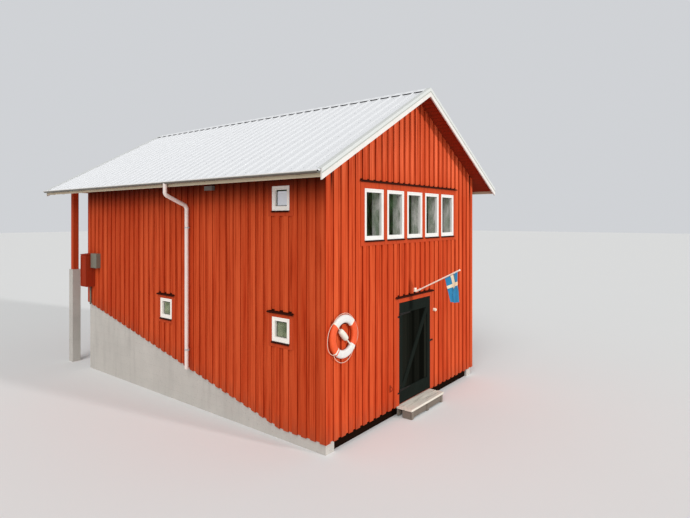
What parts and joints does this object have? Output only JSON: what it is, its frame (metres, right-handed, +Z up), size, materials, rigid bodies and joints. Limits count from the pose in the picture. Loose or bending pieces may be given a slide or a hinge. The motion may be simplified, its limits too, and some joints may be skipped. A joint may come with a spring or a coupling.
{
  "type": "boathouse",
  "caption": "Two-storey timber boathouse with a gable window row, a ribbed steel roof over a rear porch and a hinged door",
  "frame": {"origin": "middle of the base, on the underside of the floor slab at ground level", "axes": "+Z up, the front gable with the hinged door faces -Y, +Y runs along the ridge to the porch"},
  "size_m": [6.972, 10.3995, 6.5694],
  "materials": {
    "concrete": "cast, matt",
    "dark_plinth": "cast, matt, in shade",
    "floor_wood": "bare boards",
    "red_wood": "matt red oxide paint on sawn boards",
    "red_trim": "matt red oxide paint on planed boards",
    "roof_wood": "matt red paint in shade",
    "roof_steel": "satin, pale grey",
    "white_steel": "satin white",
    "white_paint": "white paint",
    "cream_paint": "cream paint",
    "galvanised": "dull zinc",
    "pane": "clear window glass",
    "dark_steel": "dark brown folded strip",
    "door_paint": "black paint with a soft shine",
    "black_iron": "black forged",
    "grey_wood": "weathered grey boards",
    "buoy_shell": "orange and white shell",
    "rope": "laid line",
    "float_shell": "white float",
    "pole_paint": "white paint",
    "flag_cloth": "woven, blue with a yellow cross",
    "meter_paint": "grey green",
    "lamp_shell": "pale grey"
  },
  "bodies": {
    "house": {"foundation_front": "dark_plinth", "foundation_left": "concrete", "foundation_right": "concrete", "foundation_rear": "concrete", "floor_lower": "concrete", "floor_upper": "floor_wood", "wall_left": "red_wood", "wall_right": "red_wood", "wall_rear": "red_wood", "wall_front_left": "red_wood", "wall_front_right": "red_wood", "wall_front_gable": "red_wood", "rafters": "roof_wood", "roof_boards_left": "roof_wood", "roof_boards_right": "roof_wood", "roof_sheet_left": "roof_steel", "roof_sheet_right": "roof_steel", "ridge_cap": "roof_steel", "verge_boards": "white_paint", "verge_strips": "white_steel", "fascia_boards": "cream_paint", "gutters": "white_steel", "downpipes": "white_steel", "downpipe_clips": "galvanised", "porch_posts": "red_trim", "porch_piers": "concrete", "porch_beams": "red_trim", "gable_window_frames": "white_paint", "gable_window_glass": "pane", "gable_window_casing": "red_trim", "side_window_frames": "white_paint", "side_window_glass": "pane", "side_window_casings": "red_trim", "head_strips": "dark_steel", "window_sills": "dark_steel", "door_frame": "red_trim", "door_casing": "red_trim", "door_ironwork": "black_iron", "door_step": "grey_wood", "rear_door": "door_paint", "rear_door_casing": "red_trim", "lifebuoy": "buoy_shell", "lifebuoy_line": "rope", "lifebuoy_float": "float_shell", "lifebuoy_hook": "black_iron", "flag_bracket": "white_steel", "flagpole": "pole_paint", "flag": "flag_cloth", "meter_cabinet": "red_trim", "meter_box": "meter_paint", "eaves_lamp": "lamp_shell", "door_lamp": "lamp_shell"},
    "door": {"door_leaf": "door_paint", "door_rails": "door_paint", "door_hinges": "black_iron", "door_hasp": "black_iron"}
  },
  "joints": [
    {"name": "door_hinge", "type": "hinge", "parent": "house", "child": "door", "pos_m": [-0.613, -4.11, 0.47], "axis": [0, 0, -1], "range_deg": [0, 165]}
  ]
}
